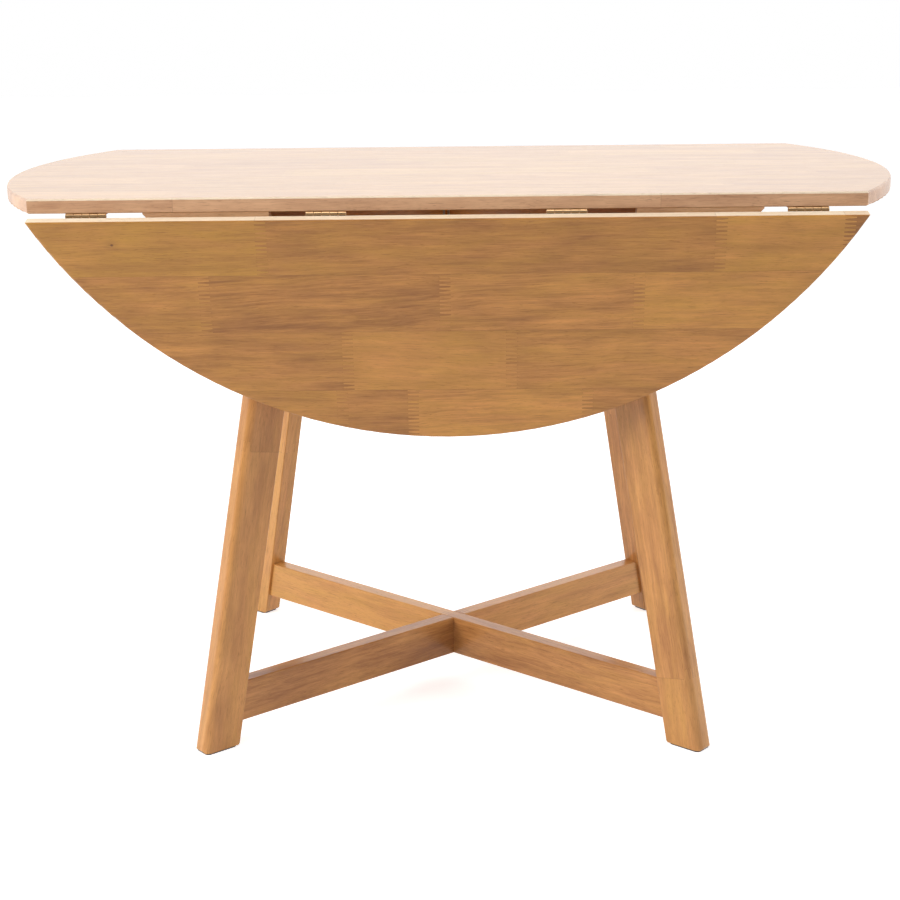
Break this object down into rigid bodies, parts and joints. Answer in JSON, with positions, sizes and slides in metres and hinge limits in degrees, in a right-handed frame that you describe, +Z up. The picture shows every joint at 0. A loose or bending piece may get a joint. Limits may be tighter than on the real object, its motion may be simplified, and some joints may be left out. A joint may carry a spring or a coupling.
{
  "type": "round drop-leaf table",
  "caption": "Round wooden folding table with a fixed centre panel, two half-moon drop leaves on brass butt hinges, folding metal stays and splayed legs on crossed stretchers.",
  "frame": {"origin": "on the floor under the middle of the table", "axes": "+X along the hinge lines, -Y towards the front leaf, +Z up"},
  "size_m": [1.1998, 0.6422, 0.75],
  "materials": {
    "table_wood": "satin lacquer",
    "dowel_wood": "plain turned",
    "brass": "satin plated",
    "stay_steel": "zinc plated",
    "zinc_steel": "zinc plated",
    "foot_pad": "matte"
  },
  "bodies": {
    "frame": {"batten_screws": "zinc_steel", "bolt_washers": "zinc_steel", "centre_panel": "table_wood", "foot_pad_front_left": "foot_pad", "foot_pad_front_right": "foot_pad", "foot_pad_rear_left": "foot_pad", "foot_pad_rear_right": "foot_pad", "front_left_batten": "table_wood", "front_panel_plate_1": "brass", "front_panel_plate_2": "brass", "front_panel_plate_3": "brass", "front_panel_plate_4": "brass", "front_right_batten": "table_wood", "front_stay_bracket": "stay_steel", "hinge_pins": "brass", "leg_dowels": "dowel_wood", "leg_front_left": "table_wood", "leg_front_right": "table_wood", "leg_rear_left": "table_wood", "leg_rear_right": "table_wood", "panel_bolts": "zinc_steel", "panel_hinge_screws": "brass", "rail_a": "table_wood", "rail_b": "table_wood", "rear_left_batten": "table_wood", "rear_panel_plate_1": "brass", "rear_panel_plate_2": "brass", "rear_panel_plate_3": "brass", "rear_panel_plate_4": "brass", "rear_right_batten": "table_wood", "rear_stay_bracket": "stay_steel", "stay_rivets": "stay_steel", "stay_screws": "stay_steel", "stretcher_a": "table_wood", "stretcher_b": "table_wood", "threaded_inserts": "zinc_steel"},
    "front_leaf_body": {"front_leaf": "table_wood", "front_leaf_hinge_screws": "brass", "front_leaf_plate_1": "brass", "front_leaf_plate_2": "brass", "front_leaf_plate_3": "brass", "front_leaf_plate_4": "brass", "front_leaf_shoe": "stay_steel", "front_shoe_rivet": "stay_steel", "front_shoe_screws": "stay_steel"},
    "rear_leaf_body": {"rear_leaf": "table_wood", "rear_leaf_hinge_screws": "brass", "rear_leaf_plate_1": "brass", "rear_leaf_plate_2": "brass", "rear_leaf_plate_3": "brass", "rear_leaf_plate_4": "brass", "rear_leaf_shoe": "stay_steel", "rear_shoe_rivet": "stay_steel", "rear_shoe_screws": "stay_steel"},
    "front_stay_arm_body": {"front_elbow_rivet": "stay_steel", "front_stay_arm": "stay_steel"},
    "front_stay_link_body": {"front_stay_link": "stay_steel"},
    "rear_stay_arm_body": {"rear_elbow_rivet": "stay_steel", "rear_stay_arm": "stay_steel"},
    "rear_stay_link_body": {"rear_stay_link": "stay_steel"}
  },
  "joints": [
    {"name": "front_leaf_raise", "type": "hinge", "parent": "frame", "child": "front_leaf_body", "pos_m": [0, -0.3, 0.7282], "axis": [-1, 0, 0], "range_deg": [0, 102]},
    {"name": "front_stay_arm_pivot", "type": "hinge", "parent": "frame", "child": "front_stay_arm_body", "pos_m": [0, -0.17, 0.6782], "axis": [-1, 0, 0], "range_deg": [0, 101]},
    {"name": "front_stay_link_pivot", "type": "hinge", "parent": "front_leaf_body", "child": "front_stay_link_body", "pos_m": [0, -0.26709, 0.61763], "axis": [-1, 0, 0], "range_deg": [-122, 0]},
    {"name": "rear_leaf_raise", "type": "hinge", "parent": "frame", "child": "rear_leaf_body", "pos_m": [0, 0.3, 0.7282], "axis": [1, 0, 0], "range_deg": [0, 102]},
    {"name": "rear_stay_arm_pivot", "type": "hinge", "parent": "frame", "child": "rear_stay_arm_body", "pos_m": [0, 0.17, 0.6782], "axis": [1, 0, 0], "range_deg": [0, 101]},
    {"name": "rear_stay_link_pivot", "type": "hinge", "parent": "rear_leaf_body", "child": "rear_stay_link_body", "pos_m": [0, 0.26709, 0.61763], "axis": [1, 0, 0], "range_deg": [-122, 0]}
  ],
  "couplings": [
    {"joint": "front_stay_arm_pivot", "follows": "front_leaf_raise", "ratio": 0.982},
    {"joint": "front_stay_link_pivot", "follows": "front_leaf_raise", "ratio": -1.19},
    {"joint": "rear_stay_arm_pivot", "follows": "rear_leaf_raise", "ratio": 0.982},
    {"joint": "rear_stay_link_pivot", "follows": "rear_leaf_raise", "ratio": -1.19}
  ]
}
